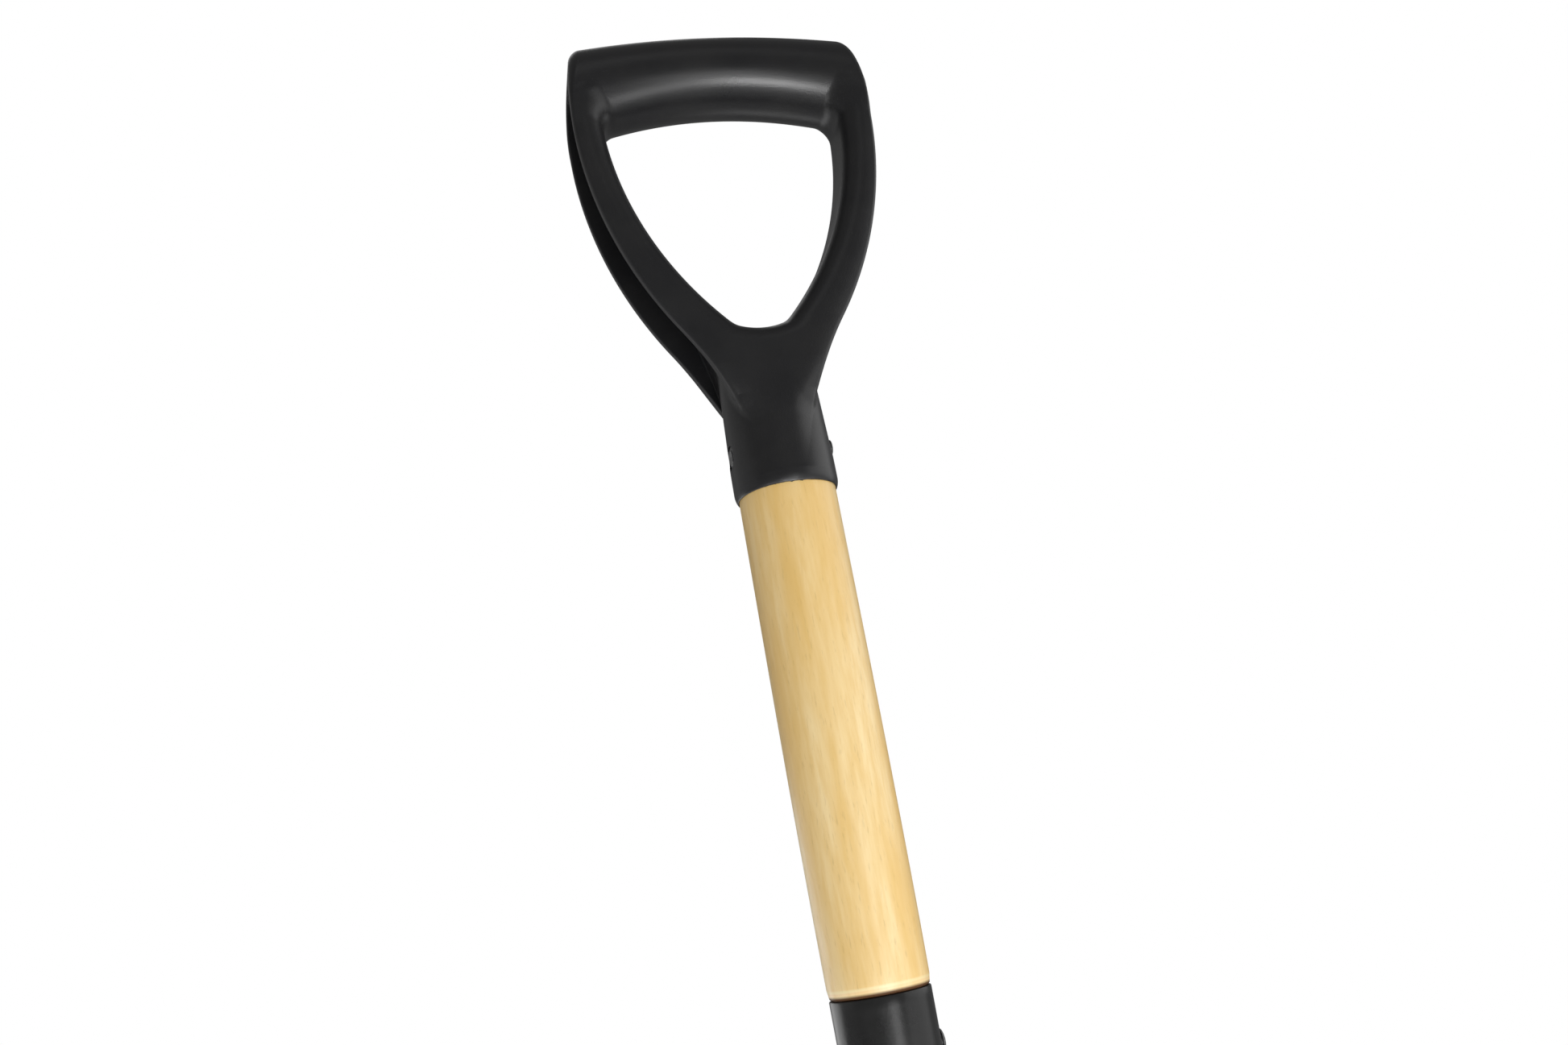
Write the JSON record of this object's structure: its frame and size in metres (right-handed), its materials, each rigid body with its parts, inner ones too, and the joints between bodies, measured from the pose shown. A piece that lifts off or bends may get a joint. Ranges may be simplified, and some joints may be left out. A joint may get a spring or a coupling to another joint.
{
  "type": "garden spade",
  "caption": "Digging spade with a moulded D-handle, a wooden shaft riveted into a tubular steel socket, and a flat treaded blade for cutting and lifting soil.",
  "frame": {"origin": "on the shaft axis, at the height of the cutting edge, so the tool stands on z = 0", "axes": "+Z along the shaft from the cutting edge up to the grip; +X to the right when facing the front of the blade, along the grip bar; the front of the blade faces -Y"},
  "size_m": [0.19, 0.0404, 0.979],
  "materials": {
    "handle_plastic": "black polypropylene with a fine moulded texture and a soft sheen",
    "shaft_wood": "pale hardwood with straight fine grain under a thin satin lacquer",
    "head_paint": "smooth black powder coat on carbon steel",
    "rivet_steel": "dull grey coated steel, the coat rubbed thin on the heads"
  },
  "bodies": {
    "root": {"d_handle": "handle_plastic", "shaft": "shaft_wood", "handle_rivet": "rivet_steel", "handle_rivet_washer": "rivet_steel", "socket": "head_paint", "socket_rivet_upper": "rivet_steel", "socket_rivet_lower": "rivet_steel", "blade": "head_paint", "tread_left": "head_paint", "tread_right": "head_paint"}
  },
  "joints": []
}
